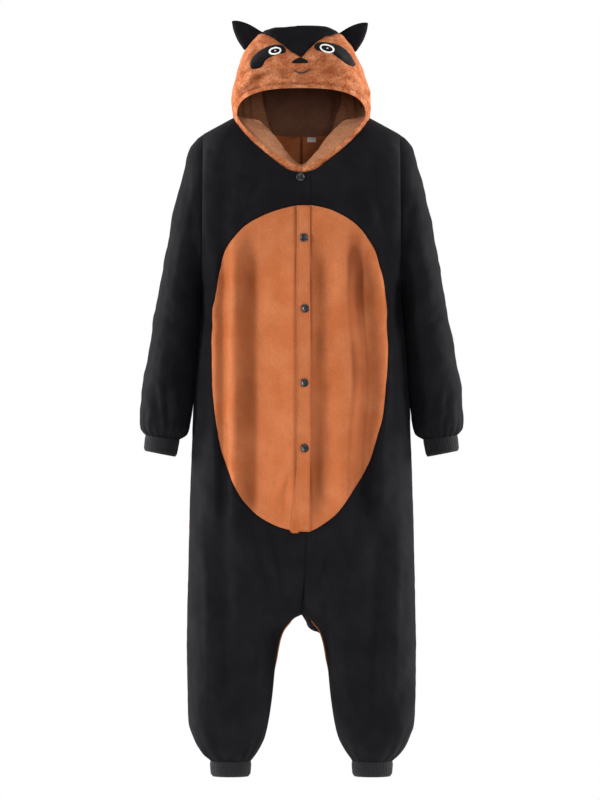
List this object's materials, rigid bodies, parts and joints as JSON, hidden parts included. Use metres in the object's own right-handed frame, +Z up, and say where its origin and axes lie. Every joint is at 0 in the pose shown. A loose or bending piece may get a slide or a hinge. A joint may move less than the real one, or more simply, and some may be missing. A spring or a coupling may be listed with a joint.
{
  "type": "hooded raccoon onesie",
  "caption": "Hooded fleece animal onesie, black with an orange-brown belly oval, buttoned front, long sleeves, cuffed ankles, ears and a stuffed tail.",
  "frame": {"origin": "on the centre line, level with the nape, inside the neck that the wearer fills", "axes": "+Z up towards the hood, -Y is the front, +X the wearer's left"},
  "size_m": [0.688, 0.3756, 1.601],
  "materials": {
    "black_fleece": "matte brushed pile",
    "orange_fleece": "matte brushed pile",
    "rib_knit": "matte knit",
    "lining_brown": "matte",
    "lining_tan": "matte",
    "black_felt": "matte",
    "white_felt": "matte",
    "button_plastic": "semi gloss",
    "label_cloth": "satin"
  },
  "bodies": {
    "root": {"front_right": "black_fleece", "front_left": "black_fleece", "placket_top": "black_fleece", "sleeve_right": "black_fleece", "sleeve_left": "black_fleece", "hood_crown": "black_fleece", "ear_right": "black_fleece", "ear_left": "black_fleece", "tail": "black_fleece", "belly_right": "orange_fleece", "belly_left": "orange_fleece", "placket": "orange_fleece", "back_right": "orange_fleece", "back_left": "orange_fleece", "hood_face": "orange_fleece", "sleeve_cuff_right": "rib_knit", "sleeve_cuff_left": "rib_knit", "ankle_cuff_right": "rib_knit", "ankle_cuff_left": "rib_knit", "hood_lining_back": "lining_brown", "hood_lining_right": "lining_tan", "hood_lining_left": "lining_tan", "eye_patch_right": "black_felt", "eye_patch_left": "black_felt", "pupil_right": "black_felt", "pupil_left": "black_felt", "nose": "black_felt", "eye_ring_right": "white_felt", "eye_ring_left": "white_felt", "button_1": "button_plastic", "button_2": "button_plastic", "button_3": "button_plastic", "button_4": "button_plastic", "button_5": "button_plastic", "neck_label": "label_cloth"}
  },
  "joints": []
}
